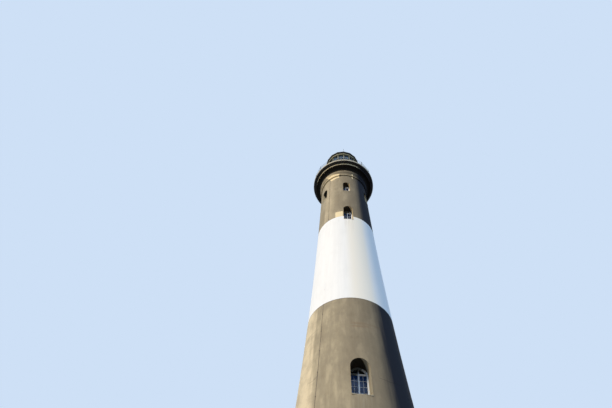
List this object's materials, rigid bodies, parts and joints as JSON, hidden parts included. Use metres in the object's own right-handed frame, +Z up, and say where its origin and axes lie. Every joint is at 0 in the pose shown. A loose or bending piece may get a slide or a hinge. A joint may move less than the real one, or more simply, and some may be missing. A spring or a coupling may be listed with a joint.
{
  "type": "lighthouse tower, 1:2 scale model",
  "caption": "Tall round flared masonry lighthouse tower in four light and dark bands, with arched windows, a moulded gallery and a many-sided glazed iron lantern, at half size.",
  "frame": {"origin": "on the tower's axis, in the flat underside of its base", "axes": "+Z up along the axis; -Y is the front, where the door and the main column of windows face; +X to the right of someone who faces the front"},
  "size_m": [5.1636, 5.4238, 26.397],
  "materials": {
    "white_wall": "weathered white paint on cement-rendered brick",
    "dark_wall": "black paint faded to taupe on cement-rendered brick",
    "granite": "dressed grey granite",
    "black_iron": "black painted cast iron",
    "lantern_iron": "dark green-black painted cast iron, faded",
    "roof_iron": "black painted plate",
    "copper": "weathered copper rod",
    "painted_wood": "white painted joinery",
    "door_wood": "dark painted planks",
    "glass": "clear window and lantern glass"
  },
  "bodies": {
    "root": {"back_cornice": "dark_wall", "back_wall_bottom": "white_wall", "back_wall_lower": "dark_wall", "back_wall_middle": "white_wall", "back_wall_upper": "dark_wall", "base_course": "granite", "door_frame": "painted_wood", "door_leaf": "door_wood", "door_step": "granite", "front_cornice": "dark_wall", "front_wall_beside_door": "white_wall", "front_wall_lower": "dark_wall", "front_wall_middle": "white_wall", "front_wall_over_door": "white_wall", "front_wall_upper": "dark_wall", "gallery_deck": "black_iron", "gallery_railing": "black_iron", "ground_floor": "granite", "lantern_astragals": "lantern_iron", "lantern_door": "lantern_iron", "lantern_glass": "glass", "lantern_gutter": "roof_iron", "lantern_head": "lantern_iron", "lantern_parapet": "lantern_iron", "lantern_posts": "lantern_iron", "lantern_roof": "roof_iron", "lantern_sill": "lantern_iron", "lantern_walkway": "black_iron", "left_cornice": "dark_wall", "left_wall_bottom": "white_wall", "left_wall_lower": "dark_wall", "left_wall_middle": "white_wall", "left_wall_upper": "dark_wall", "lightning_rod": "copper", "lower_window_frames": "painted_wood", "lower_window_glass": "glass", "right_cornice": "dark_wall", "right_wall_bottom": "white_wall", "right_wall_lower": "dark_wall", "right_wall_middle": "white_wall", "right_wall_upper": "dark_wall", "upper_window_frames": "painted_wood", "upper_window_glass": "glass", "ventilator": "roof_iron", "walkway_brackets": "black_iron", "watch_room_floor": "black_iron", "watch_room_window_frames": "painted_wood", "watch_room_window_glass": "glass"}
  },
  "joints": []
}
